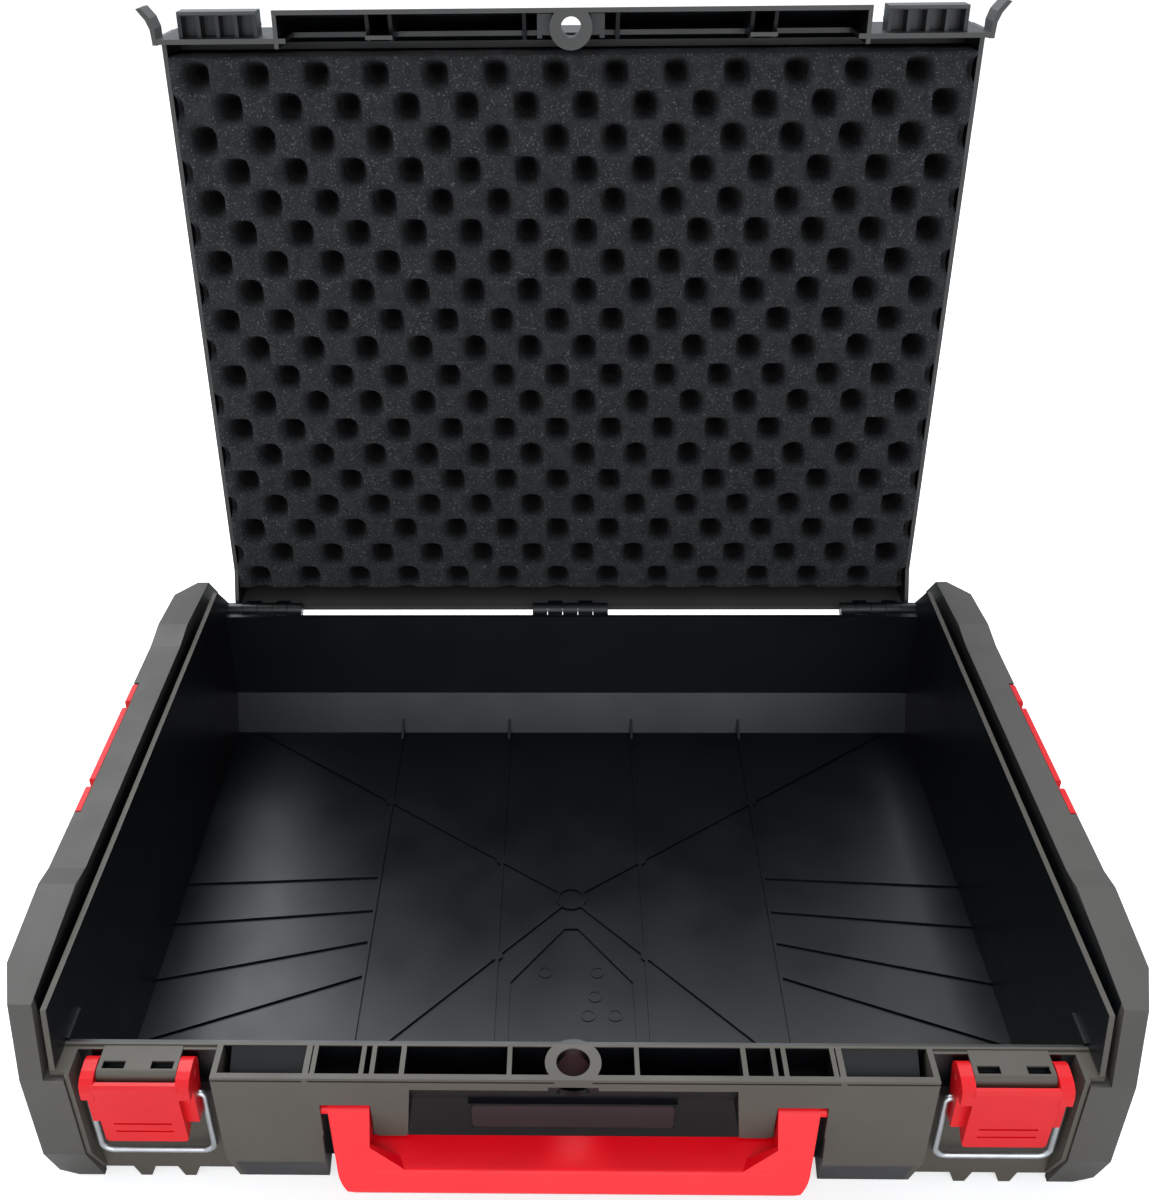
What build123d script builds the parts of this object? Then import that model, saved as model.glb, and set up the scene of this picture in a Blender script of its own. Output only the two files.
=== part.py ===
"""Stackable tool case, standing open: tub, side rails, lid with foam, latches and handle.

Millimetres. X runs to the case's right, Y from its front to its hinge, Z up from the ground.
The lid is drawn where it lies when closed and then turned open about its hinge.
"""

from build123d import *
from math import asin, atan2, cos, degrees, hypot, radians, sin, sqrt
import os

os.makedirs("parts", exist_ok=True)

# General fits
wall = 2.5                 # moulded wall of the tub, the lid and the rails
rib = 2.0                  # thinner inner webs
seat_gap = 0.3             # between two moulded pieces that are fixed together
run_gap = 0.4              # between moulded pieces that move past each other
pin_fit = 0.03             # radial clearance of a steel pin
axle_fit = 0.06            # radial clearance of a moulded trunnion or a wire end

# Tub
tub_half = 219.4           # inside half width
floor_top = 5.0
front_foot = -158.5        # inside front wall at the floor
front_top = -163.3         # inside front wall at the rim
rear_foot = 151.9          # inside rear wall at the floor
crease_y = 163.2           # inside rear wall at its crease
crease_z = 29.2
rear_top = 164.0           # inside rear wall at its top
rear_height = 88.2
rim_height = 83.7          # front rim
side_height = 113.0        # side walls, inside the rails
side_front_top = -172.8    # front end of the side walls' top edge
side_front_low = -179.4    # foot of their leaning front edge
side_rear_top = 154.0      # rear end of their top edge
side_rear_low = 177.0      # foot of their sloping rear edge
side_rear_z = 90.0

# Front of the tub
fascia_face = -183.0
fascia_half = 153.0
fascia_thick = 2.7
fascia_crease = 30.3       # height where the front starts to slope back to the ground
toe_y = -170.5             # foot of that slope
centre_foot = 12.0         # radius of the foot under the middle of the floor
lip_height = 76.9          # top edge of the recess behind the handle
recess_half = 69.3
post_in = 71.5             # the two short posts between recess and handle arms
post_out = 86.0
post_foot = 46.3
slot_top = 66.5            # slots of the handle's arms
slot_half = 108.3
slot_flare = 3.5           # how much wider the opening is at the ground
pocket_low = 72.0          # front edge of the sloping pocket at each end of the rim
eye_y = -173.8             # padlock eye, through lid and tub
eye_hole = 7.2
eye_boss = 12.0
eye_notch = 10.7           # half width of the relief cut in the lip under the eye
relief = 2.1
groove_under = 0.9         # depth of the groove along the fascia, just under its rim

# Latch bays at both ends of the front
bay_x = 185.0              # middle of each latch
bay_out = 213.4            # outer end of the bay
bay_back = -171.0          # face behind the lever
bay_foot = 6.5             # height of that face's lower edge
ledge_top = 82.7
pocket_back = -167.5       # back of the pockets that the lever's ears turn in
pocket_floor = 66.0
block_half = 17.1          # ledge block that carries the latch pin
block_front = -181.0
block_round = 3.0
slot_len = 9.6             # the two slots in the ledge
slot_wide = 4.0
slot_deep = 11.0
slot_off = 10.4
slot_y = -176.0
foot_base = 10.6           # stacking feet under the bay
foot_tip = 5.0
foot_off = (-9.2, 11.2)

corner_rib = -147.0        # rear end of the small rib in each front corner

# Floor ribs
rib_x = (40.0, 110.0)
gusset = 11.0              # where the lengthwise ribs climb the rear wall
gusset_high = 9.0
rib_high = 1.4
rib_wide = 1.6
ring_r = 8.5

# Side rails
rail_outer = 241.5
rail_inner = 224.4
rail_top = 120.6           # top between the raised ends
rail_crest = 123.3         # top of the raised ends
rail_nose_top = 117.2      # top at the front bevel
rail_tail_top = 119.2
rail_face = -182.0         # front face
rail_bevel_z = 80.0        # where the front face starts to lean back
rail_bevel_y = -173.5
rail_low = (-96.6, 84.0)   # ends of the low middle stretch
rail_high = (-109.8, 102.6)
rail_tail = 156.0          # rear end of the top
rail_end = 172.0           # rear face
rail_cut_front = -152.7    # where the outer face starts to turn in at the front
rail_cut_rear = 139.8
rail_nose_x = 234.5
rail_tail_x = 231.0
channel_floor = 76.0       # bottom of the channel between rail and tub
nose_back = -168.0

# Side clips
clip_front = -57.0
clip_rear = 47.0
clip_gaps = ((-39.0, -33.0), (26.0, 32.0))
clip_top = 117.8
clip_foot = 36.0
clip_plate = 2.5
clip_pad = 2.4             # how far the pads stand on the plate
rail_lip = 238.5           # outer edge of the rail's top over the clip, where the pads show
clip_in = 237.3            # inner face of the plate
clip_pin_x = 239.6
clip_pin_z = 32.0
clip_pin_r = 1.3
clip_barrel = 2.6
clip_edge = 1.2            # gap around the clip in its recess

# Hinge of the lid
hinge_y = 172.8
hinge_z = 88.4
open_angle = 92.5
knuckle_r = 4.2
hinge_pin_r = 1.6
knuckle_gap = 0.4
hinge_groups = {"left": (-219.0, -172.0), "centre": (-24.0, 24.0), "right": (172.0, 219.0)}
knuckles = 5

# Lid, as it lies when closed
lid_half = 216.0
lid_top = 132.0
lid_side_rim = 101.0       # lower edge of its side walls
lid_front_in = -167.2      # inner face of the wall in front of the foam
lid_rear = 176.0
lid_rear_rim = 93.2
lid_lift = 0.4             # gap above the tub's rim when closed
band_face = -183.2         # face of the front band
band_wall = 2.2
band_shoulder = 112.0      # height where the band starts to slope back
band_lean = 4.4            # how far the band leans back up to there
band_top_y = -168.0
cell_in = 91.7             # locating cells
cell_out = 105.7
cell_back = -170.7
partition_x = 24.0
eye_lid_hole = 5.2
eye_lid_boss = 11.0
eye_pocket_floor = 97.0
eye_pocket_half = 15.0
catch_in = 162.0           # catch box that the bail's bar lies on
catch_out = 203.0
catch_front = -182.3
catch_cells = 4
horn_reach = -184.3        # tips of the flared corners
horn_out = 222.3
horn_top = 98.0

# Foam
foam_thick = 30.0
foam_front = -158.7
foam_rear = 162.8
foam_pitch_x = 32.0
foam_pitch_y = 17.0
foam_first_row = -149.7
foam_first_x = -200.0
foam_rows = 19
pit_r = 10.4
pit_r_deep = 4.0
pit_depth = 17.0
foam_edge = 1.0            # least foam between a pit and the pad's side

# Latch lever, hanging closed
pivot_y = -175.0
pivot_z = 77.5
latch_pin_r = 1.5
ear_r = 6.3
ear_thick = 5.8
plate_half = 18.0
plate_foot = 43.4
plate_top = 80.8
plate_face = -186.0
plate_foot_face = -184.5
plate_thick = 2.8
lug_y = -175.5             # wire hole
lug_z = 64.3
lug_r = 3.6
lug_foot = 52.5
lug_front = -181.2
ear_foot = 72.6            # lower end of the ears where they show
plate_corner = 2.0
groove_z = (50.6, 55.8)
groove_half = 12.5
groove_deep = 0.7

# Wire bail
wire_r = 1.6
bail_leg = 38.6
bail_bar_y = -171.8        # where its bar lies when latched
bail_corner = 5.5
bail_bend = 2.0

# Carry handle, hanging folded
grip_y = -179.5            # its axis
grip_z = 60.2
grip_eye_r = 5.3
trunnion_r = 2.5
trunnion_reach = 2.2       # how far it goes into its wall
arm_in = 87.0
arm_out = 105.0
arm_foot = 98.8            # half width of the bar at its lower edge
bar_tip = (-200.6, 32.6)   # foot of the front face
edge_z = 41.2              # height of the bar's upper front edge
bar_back = -181.2
bar_back_top = 44.6
bar_foot = 29.3
bar_round = 3.0
bar_corner = 13.0
bevel_x = 72.0             # inner end of the bevel between arm and bar
bevel_z = 49.5             # its upper end on the arm
bevel_deep = 5.5

# Label holder
label_half = 45.5
label_low = 28.5
label_high = 43.5
label_frame = 1.2
card_thick = 0.3
window_thick = 1.0
label_proud = 1.9          # frame's face in front of the wall
label_gap = 0.2

# Sizes that follow from those above
tub_out = tub_half + wall
rear_lean = (crease_y - rear_foot) / (crease_z - floor_top)
hinge_axis = Axis((0, hinge_y, hinge_z), (1, 0, 0))
lid_rim = rim_height + lid_lift
bar_z = lug_z + sqrt(bail_leg**2 - (bail_bar_y - lug_y) ** 2)
catch_top = bar_z - wire_r - seat_gap
catch_foot = pivot_z + hypot(plate_face - pivot_y, plate_top - 1.5 - pivot_z) + run_gap
lid_inside = lid_top - wall
foam_crest = lid_inside - seat_gap - foam_thick
ear_in = block_half + run_gap
ear_out = ear_in + ear_thick
leg_off = ear_out + seat_gap + wire_r + 0.2
fascia_back = fascia_face + fascia_thick
recess_wall = slot_half + slot_flare


def across(points, x0, x1, mode=Mode.ADD):
    """A side outline of (y, z) points, drawn out from x0 to x1."""
    low, high = sorted((x0, x1))
    with BuildSketch(Plane.YZ.offset(low)) as outline:
        with BuildLine():
            Polyline(*points, close=True)
        make_face()
    extrude(outline.sketch, amount=high - low, mode=mode)


def along(points, y0, y1, side=1, mode=Mode.ADD):
    """A front outline of (x, z) points, drawn out from y0 back to y1."""
    with BuildSketch(Plane.XZ.offset(-y1)) as outline:
        with BuildLine():
            Polyline(*[(side * x, z) for x, z in points], close=True)
        make_face()
    extrude(outline.sketch, amount=y1 - y0, mode=mode)


def upward(points, z0, z1, side=1, mode=Mode.ADD):
    """A plan outline of (x, y) points, drawn out from z0 up to z1."""
    with BuildSketch(Plane.XY.offset(z0)) as outline:
        with BuildLine():
            Polyline(*[(side * x, y) for x, y in points], close=True)
        make_face()
    extrude(outline.sketch, amount=z1 - z0, mode=mode)


def block(xs, ys, zs, mode=Mode.ADD):
    """A plain web or cut between two x, two y and two z values."""
    spans = [sorted(pair) for pair in (xs, ys, zs)]
    middle = tuple((low + high) / 2 for low, high in spans)
    with Locations(middle):
        Box(*[high - low for low, high in spans], mode=mode)


def rod(y, z, x0, x1, radius, mode=Mode.ADD):
    """A round bar or hole along X."""
    low, high = sorted((x0, x1))
    with BuildSketch(Plane.YZ.offset(low)) as outline:
        with Locations((y, z)):
            Circle(radius)
    extrude(outline.sketch, amount=high - low, mode=mode)


def drum(x, y, z0, z1, radius, mode=Mode.ADD):
    """A round boss or hole along Z."""
    with BuildSketch(Plane.XY.offset(z0)) as outline:
        with Locations((x, y)):
            Circle(radius)
    extrude(outline.sketch, amount=z1 - z0, mode=mode)


def floor_rib(start, end):
    """A low straight rib on the floor between two (x, y) points."""
    dx, dy = end[0] - start[0], end[1] - start[1]
    middle = ((start[0] + end[0]) / 2, (start[1] + end[1]) / 2, floor_top + rib_high / 2 - 0.5)
    with Locations(Location(middle, (0, 0, degrees(atan2(dy, dx))))):
        Box(hypot(dx, dy), rib_wide, rib_high + 1.0)


def front_wall_y(z):
    """Outside of the tub's front wall at height z."""
    share = (z - floor_top) / (rim_height - floor_top)
    return front_foot - wall + share * (front_top - front_foot)


def knuckle_spans(group):
    """The x spans of the knuckles of one hinge group, from its left end."""
    low, high = hinge_groups[group]
    pitch = (high - low + knuckle_gap) / knuckles
    return [(low + i * pitch, low + (i + 1) * pitch - knuckle_gap) for i in range(knuckles)]


def beside(side, near, far):
    """A pair of x values on one side of the case."""
    return side * near, side * far


# Side outline of the case's front, from the rim down to the ground
front_outline = [
    (fascia_face, rim_height), (fascia_face, fascia_crease), (toe_y, 0), (toe_y + wall, 0),
    (front_foot - wall, floor_top - wall), (front_wall_y(rim_height), rim_height),
]

# Half of the front's opening for handle and recess, its posts' corners rounded
front_opening = [
    (0, lip_height), (recess_half, lip_height), (post_in, post_foot + 1.6),
    (post_in + 0.4, post_foot + 0.4), (post_in + 1.6, post_foot), (post_out - 2.4, post_foot),
    (post_out - 0.7, post_foot + 0.7), (post_out, post_foot + 2.4), (post_out + 0.6, slot_top),
    (slot_half, slot_top), (slot_half + 0.8, fascia_crease), (recess_wall, -1), (0, -1),
]

# Tub with its front, one moulding
with BuildPart() as base_tub:
    floor_low = floor_top - wall
    rear_out = rear_top + wall
    across([(front_foot - wall, floor_low), (rear_foot + wall, floor_low),
            (crease_y + wall, crease_z - 0.5), (rear_out, rear_height),
            (front_top - wall, rim_height)], -tub_out, tub_out)
    across([(front_foot, floor_top), (rear_foot, floor_top), (crease_y, crease_z),
            (rear_top, rear_height), (rear_top, side_height), (front_top, side_height),
            (front_top, rim_height)], -tub_half, tub_half, Mode.SUBTRACT)
    for side in (-1, 1):
        across([(side_front_low, rail_bevel_z + run_gap), (side_front_low, rail_bevel_z + 1.5),
                (side_front_top, side_height), (side_rear_top, side_height),
                (side_rear_low, side_rear_z), (side_rear_low, side_rear_z - 10),
                (rear_out, side_rear_z - 12), (crease_y + wall, crease_z),
                (rear_foot + wall, floor_low), (front_foot - wall, floor_low),
                (front_wall_y(rail_bevel_z), rail_bevel_z + run_gap)],
               *beside(side, tub_half, tub_out))

    # Floor ribs: four lengthwise, the long diagonals, the fans and the centre ring
    for side in (-1, 1):
        block(beside(side, tub_half - 1.4, tub_half + 0.5), (front_top, corner_rib),
              (rim_height - 0.5, rim_height + 1.0))
        for x in rib_x:
            floor_rib((side * x, front_foot - 1), (side * x, rear_foot + 1))
            across([(rear_foot - gusset, floor_top), (rear_foot + gusset_high * rear_lean + 1, floor_top + gusset_high),
                    (rear_foot + 1, floor_top)], side * x - rib_wide / 2, side * x + rib_wide / 2)
        floor_rib((side * 6.0, 4.5), (side * 203, 150))
        floor_rib((side * 5.5, -5.9), (side * 148, -158))
        for inner, outer in ((17, 11), (-9, -20), (-32, -60), (-56, -101)):
            floor_rib((side * 110, inner), (side * (tub_half + 0.5), outer))
        floor_rib((side * 4.0, -22.5), (side * 33, -61))
        floor_rib((side * 33, -61), (side * 33, front_foot))
        for x, y in ((40.5, 30.3), (110.8, 82.0), (40.0, -42.8)):
            drum(side * x, y, floor_top - 0.5, floor_top + rib_high, 3.0)
    floor_rib((-4.5, -22.5), (4.5, -22.5))
    drum(0, 0, 0, floor_low + 0.5, centre_foot)
    drum(0, 0, floor_top - 0.5, floor_top + rib_high, ring_r)
    drum(0, 0, floor_top, floor_top + rib_high, ring_r - rib_wide, Mode.SUBTRACT)
    for x, y in ((-14, -53.6), (13.5, -53.5), (12.1, -69.7), (8.3, -82.1), (22.2, -82.0)):
        drum(x, y, floor_top - 0.5, floor_top + 0.5, 3.8)
        drum(x, y, floor_top + 0.1, floor_top + 0.5, 3.0, Mode.SUBTRACT)

    # Front fascia with its two end walls and the walls beside the handle
    across([(fascia_face, rim_height), (fascia_face, fascia_crease), (toe_y, 0),
            (toe_y + wall, 0), (fascia_back, fascia_crease + 0.6), (fascia_back, rim_height)],
           -fascia_half, fascia_half)
    for side in (-1, 1):
        across(front_outline, *beside(side, fascia_half - wall, fascia_half))
    for side in (-1, 1):
        along(front_opening, fascia_face - 1, toe_y + wall + 1, side, Mode.SUBTRACT)
    block((-eye_notch, eye_notch), (fascia_face - 1, fascia_back - 0.4),
          (lip_height - 1, lip_height + relief), Mode.SUBTRACT)
    block((-fascia_half - 1, fascia_half + 1), (fascia_face - 1, fascia_face + groove_under),
          (rim_height - 2.4, rim_height - 1.4), Mode.SUBTRACT)
    web_y = (fascia_back - 0.5, front_wall_y(floor_top) + 0.5)
    for side in (-1, 1):
        across([(fascia_face, rim_height), (fascia_face, fascia_crease), (toe_y, 0),
                (toe_y + wall, 0), (front_foot - wall, floor_low),
                (front_wall_y(rim_height), rim_height)],
               *beside(side, recess_wall, recess_wall + wall))
        # Web of each post, the slot's roof and the roof behind the post
        across([(fascia_back - 0.5, rim_height), (fascia_back - 0.5, post_foot),
                (front_wall_y(post_foot) + 0.5, post_foot),
                (front_wall_y(rim_height) + 0.5, rim_height)],
               *beside(side, post_out - rib, post_out))
        block(beside(side, post_out - rib, recess_wall + 0.5), web_y[:1] + (front_wall_y(slot_top) + 0.5,),
              (slot_top, slot_top + rib))
        across([(fascia_back - 0.5, rim_height), (fascia_back - 0.5, post_foot),
                (front_wall_y(post_foot) + 0.5, post_foot),
                (front_wall_y(rim_height) + 0.5, rim_height)],
               *beside(side, post_in, post_in + rib))
        block(beside(side, post_in, post_out), web_y[:1] + (front_wall_y(slot_top) + 0.5,),
              (slot_top, slot_top + rib))
        # Walls of the open cells in the rim
        for x, low in ((27.0, lip_height + 1), (72.3, slot_top + rib), (89.5, slot_top + rib),
                       (110.2, slot_top + rib)):
            across([(fascia_back - 0.5, rim_height), (fascia_back - 0.5, low),
                    (front_wall_y(slot_top) + 0.5, slot_top + rib),
                    (front_wall_y(rim_height) + 0.5, rim_height)],
                   side * x - rib / 2, side * x + rib / 2)
        # Sloping floor of the pocket between the locating cell and the fascia's end
        across([(front_top - wall + 0.5, rim_height - 2.5), (front_top - wall + 0.5, rim_height - 0.4),
                (fascia_back - 0.5, pocket_low), (fascia_back - 0.5, pocket_low - rib)],
               *beside(side, recess_wall, fascia_half - 6))
    # Sloping panel over the label, and the padlock eye
    across([(fascia_back - 0.5, lip_height), (front_wall_y(46) + 0.5, 45.5),
            (front_wall_y(49) + 0.5, 49.5), (fascia_back - 0.5, lip_height + 3.6)],
           -post_in - 0.5, post_in + 0.5)
    drum(0, eye_y, lip_height + relief, rim_height, eye_boss)
    block((-eye_boss - 1, eye_boss + 1), (fascia_face - 4, fascia_face),
          (lip_height, rim_height + 1), Mode.SUBTRACT)
    drum(0, eye_y, lip_height - 30, rim_height + 1, eye_hole, Mode.SUBTRACT)

    # Latch bays
    for side in (-1, 1):
        in_x, out_x = fascia_half - 0.5, bay_out
        block(beside(side, in_x, out_x), (bay_back, bay_back + wall), (bay_foot, pocket_floor))
        block(beside(side, in_x, out_x), (bay_back, front_foot - 1), (bay_foot, bay_foot + wall))
        block(beside(side, in_x, out_x), (bay_back, front_wall_y(pocket_floor) + 0.5),
              (pocket_floor - wall, pocket_floor))
        block(beside(side, in_x, tub_out), (pocket_back, front_wall_y(ledge_top) + 0.5),
              (pocket_floor - 1, ledge_top))
        across([(block_front, ledge_top), (block_front, fascia_crease), (bay_back, bay_foot),
                (front_foot - 1, bay_foot), (front_wall_y(ledge_top) + 0.5, ledge_top)],
               *beside(side, bay_out, bay_out + rib))
        block(beside(side, bay_out, tub_out), (side_front_low, front_wall_y(ledge_top) + 0.5),
              (rail_bevel_z + run_gap, ledge_top))
        with BuildSketch(Plane.YZ.offset(side * bay_x - block_half)) as ledge:
            with Locations(((block_front + pocket_back + 1) / 2, (pocket_floor - 1 + rim_height - 0.5) / 2)):
                RectangleRounded(pocket_back + 1 - block_front, rim_height - 0.5 - pocket_floor + 1, block_round)
        extrude(ledge.sketch, amount=2 * block_half)
        block((side * bay_x - block_half, side * bay_x + block_half),
              (block_front + block_round, front_wall_y(ledge_top) + 0.5), (pocket_floor - 1, rim_height - 0.5))
        for way in (-1, 1):
            x = side * bay_x + way * slot_off
            block((x - slot_len / 2, x + slot_len / 2), (slot_y - slot_wide / 2, slot_y + slot_wide / 2),
                  (ledge_top - slot_deep, rim_height + 1), Mode.SUBTRACT)
        rod(pivot_y, pivot_z, side * bay_x - block_half - 1, side * bay_x + block_half + 1,
            latch_pin_r + pin_fit, Mode.SUBTRACT)
        for off in foot_off:
            x = bay_x + off
            along([(x - foot_base / 2, bay_foot + 0.5), (x - foot_tip / 2, 0), (x + foot_tip / 2, 0),
                   (x + foot_base / 2, bay_foot + 0.5)], bay_back, front_foot - 1, side)
        # Trunnion holes of the handle
        rod(grip_y, grip_z, side * (slot_half - 1), side * (recess_wall + wall + 1),
            trunnion_r + axle_fit, Mode.SUBTRACT)

    # Fascia beside the handle closes the slot's outer side
    for side in (-1, 1):
        across([(fascia_face, slot_top + 1), (fascia_face, post_foot), (fascia_back + 6, post_foot),
                (fascia_back + 6, slot_top + 1)], *beside(side, slot_half, recess_wall + 0.5))
        rod(grip_y, grip_z, side * (slot_half - 1), side * (recess_wall + wall + 1),
            trunnion_r + axle_fit, Mode.SUBTRACT)

    # Label holder on the wall behind the handle
    holder_face = front_wall_y(label_high) - label_proud
    across([(holder_face, label_low - label_frame), (holder_face, label_high + label_frame),
            (front_wall_y(label_high) + 0.5, label_high + label_frame),
            (front_wall_y(label_low) + 0.5, label_low - label_frame)],
           -label_half - label_frame, label_half + label_frame)
    block((-label_half, label_half), (holder_face - 1, holder_face + card_thick + window_thick + 0.1),
          (label_low, label_high), Mode.SUBTRACT)

    # Hinge knuckles on the rear wall
    for group in hinge_groups:
        for x0, x1 in knuckle_spans(group)[::2]:
            across([(rear_out - 1, rear_height), (rear_out - 1, rear_height - 12),
                    (hinge_y - 1, hinge_z - knuckle_r), (hinge_y, hinge_z),
                    (hinge_y - 1, hinge_z)], x0, x1)
            rod(hinge_y, hinge_z, x0, x1, knuckle_r)
        low, high = hinge_groups[group]
        rod(hinge_y, hinge_z, low - 1, high + 1, hinge_pin_r + pin_fit, Mode.SUBTRACT)
base_tub.part.label = "base_tub"
export_step(base_tub.part, "parts/base_tub.step")

# Label card and its clear window
window_back = holder_face + window_thick
with BuildPart() as label_card:
    block((-label_half + label_gap, label_half - label_gap), (window_back, window_back + card_thick),
          (label_low + label_gap, label_high - label_gap))
label_card.part.label = "label_card"
export_step(label_card.part, "parts/label_card.step")

with BuildPart() as label_window:
    block((-label_half + label_gap, label_half - label_gap), (holder_face, window_back),
          (label_low + label_gap, label_high - label_gap))
    chamfer(label_window.edges().filter_by(Axis.Y), 1.0)
label_window.part.label = "label_window"
export_step(label_window.part, "parts/label_window.step")

# Side rails with their clips
recess_y = (clip_front - clip_edge, clip_rear + clip_edge)
recess_z = (clip_pin_z - clip_barrel - clip_edge, clip_top + 0.7)
recess_floor = clip_in - 0.7
rail_profile = [
    (bay_back, 0), (rail_face, fascia_crease), (rail_face, rail_bevel_z),
    (rail_bevel_y, rail_nose_top), (rail_high[0], rail_crest), (rail_low[0], rail_top),
    (rail_low[1], rail_top), (rail_high[1], rail_crest), (rail_tail, rail_tail_top),
    (rail_end, rail_tail_top - 17), (rail_end, fascia_crease), (rail_end - 9, 0),
]
rail_hollow = [
    (nose_back + wall, wall), (nose_back + wall, rail_bevel_z), (rail_bevel_y + 6, rail_nose_top - wall),
    (rail_high[0], rail_crest - wall), (rail_low[0], rail_top - wall),
    (rail_low[1], rail_top - wall), (rail_high[1], rail_crest - wall),
    (rail_tail - 2, rail_tail_top - wall), (rail_end - wall, rail_tail_top - 18),
    (rail_end - wall, fascia_crease), (rail_end - 11, wall),
]

for side, name in ((-1, "left"), (1, "right")):
    with BuildPart() as side_rail:
        foot_in = tub_out + seat_gap
        across(rail_profile, *beside(side, bay_out + rib + seat_gap, rail_outer))
        upward([(bay_out, rail_face - 1), (rail_nose_x, rail_face - 1), (rail_nose_x, rail_bevel_y),
                (rail_outer, rail_cut_front), (rail_outer, rail_cut_rear),
                (rail_tail_x, rail_tail), (rail_tail_x, rail_end + 1), (bay_out, rail_end + 1)],
               -1, rail_crest + 1, side, Mode.INTERSECT)
        along([(bay_out, -1), (rail_outer - 14, -1), (rail_outer - 14, 0), (rail_outer - 5, 9),
               (rail_outer, fascia_crease - 3), (rail_outer, rail_crest + 1),
               (bay_out, rail_crest + 1)], rail_face - 1, rail_end + 1, side, Mode.INTERSECT)
        # Room for the tub, for the channel, and the hollow inside
        block(beside(side, bay_out, foot_in), (nose_back, rail_end + 1), (-1, rail_crest + 2),
              Mode.SUBTRACT)
        block(beside(side, bay_out, rail_inner), (rail_face - 2, rail_end + 1),
              (rail_bevel_z, rail_crest + 2), Mode.SUBTRACT)
        block(beside(side, bay_out, rail_inner), (nose_back, rail_end + 1),
              (channel_floor, rail_crest + 2), Mode.SUBTRACT)
        across(rail_hollow, *beside(side, rail_inner + wall, rail_tail_x - wall), Mode.SUBTRACT)
        across([(recess_y[0] - 80, wall + 6), (recess_y[0] - 80, rail_top - wall),
                (recess_y[1] + 70, rail_top - wall), (recess_y[1] + 70, wall + 6)],
               *beside(side, rail_tail_x - wall - 1, rail_outer - wall), Mode.SUBTRACT)
        block(beside(side, foot_in - 1, rail_inner + wall + 1), (nose_back + wall, rail_end - 14),
              (wall + 5, channel_floor - wall), Mode.SUBTRACT)
        # Cross webs and the recess of the clip
        for y in (-130, -95, 85, 120):
            block(beside(side, foot_in, rail_outer - 6), (y - rib / 2, y + rib / 2),
                  (wall - 0.5, channel_floor - 1))
            block(beside(side, rail_inner + 1, rail_outer - 6), (y - rib / 2, y + rib / 2),
                  (channel_floor - 2, rail_top - 1.5))
        block(beside(side, recess_floor - wall, rail_outer - 0.5),
              (recess_y[0] - wall, recess_y[1] + wall), (recess_z[0] - wall, rail_top - 1))
        block(beside(side, rail_outer - 1, rail_outer),
              (recess_y[0] - wall, recess_y[1] + wall), (recess_z[0] - 1, rail_top - 1))
        block(beside(side, recess_floor, rail_outer + 1), recess_y, recess_z, Mode.SUBTRACT)
        block(beside(side, rail_lip, rail_outer + 1), recess_y, (recess_z[1] - 1, rail_crest + 1),
              Mode.SUBTRACT)
        with BuildSketch(Plane.XZ.offset(-recess_y[1] - wall + 0.5)) as pin_hole:
            with Locations((side * clip_pin_x, clip_pin_z)):
                Circle(clip_pin_r + pin_fit)
        extrude(pin_hole.sketch, amount=recess_y[1] - recess_y[0] + 2 * wall - 1, mode=Mode.SUBTRACT)
    side_rail.part.label = f"side_rail_{name}"
    export_step(side_rail.part, f"parts/side_rail_{name}.step")

    with BuildPart() as side_clip:
        block(beside(side, clip_in, clip_in + clip_plate), (clip_front, clip_rear), (clip_foot, clip_top))
        edges = [clip_front, *[y for gap in clip_gaps for y in gap], clip_rear]
        for y0, y1 in zip(edges[::2], edges[1::2]):
            pad_out, pad_top = clip_in + clip_plate + clip_pad, rail_top - seat_gap
            along([(clip_in + clip_plate - 0.5, clip_foot + 4), (pad_out, clip_foot + 8),
                   (pad_out, pad_top - 0.8), (pad_out - 0.8, pad_top), (rail_lip + run_gap, pad_top),
                   (rail_lip + run_gap, clip_top - 1)], y0, y1, side)
        along([(clip_in, clip_foot + 2), (clip_in, clip_pin_z), (clip_pin_x, clip_pin_z),
               (clip_in + clip_plate, clip_foot + 2)], clip_front, clip_rear, side)
        with BuildSketch(Plane.XZ.offset(-clip_rear)) as barrel:
            with Locations((side * clip_pin_x, clip_pin_z)):
                Circle(clip_barrel)
        extrude(barrel.sketch, amount=clip_rear - clip_front)
        with BuildSketch(Plane.XZ.offset(-clip_rear - 1)) as bore:
            with Locations((side * clip_pin_x, clip_pin_z)):
                Circle(clip_pin_r + pin_fit)
        extrude(bore.sketch, amount=clip_rear - clip_front + 2, mode=Mode.SUBTRACT)
    side_clip.part.label = f"side_clip_{name}"
    export_step(side_clip.part, f"parts/side_clip_{name}.step")

    with BuildPart() as side_clip_pin:
        with BuildSketch(Plane.XZ.offset(-recess_y[1] - wall + 1.0)):
            with Locations((side * clip_pin_x, clip_pin_z)):
                Circle(clip_pin_r)
        extrude(amount=recess_y[1] - recess_y[0] + 2 * wall - 2.0)
    side_clip_pin.part.label = f"side_clip_pin_{name}"
    export_step(side_clip_pin.part, f"parts/side_clip_pin_{name}.step")

# Hinge pins
for group, (low, high) in hinge_groups.items():
    with BuildPart() as hinge_pin:
        rod(hinge_y, hinge_z, low, high, hinge_pin_r)
    hinge_pin.part.label = f"hinge_pin_{group}"
    export_step(hinge_pin.part, f"parts/hinge_pin_{group}.step")

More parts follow.
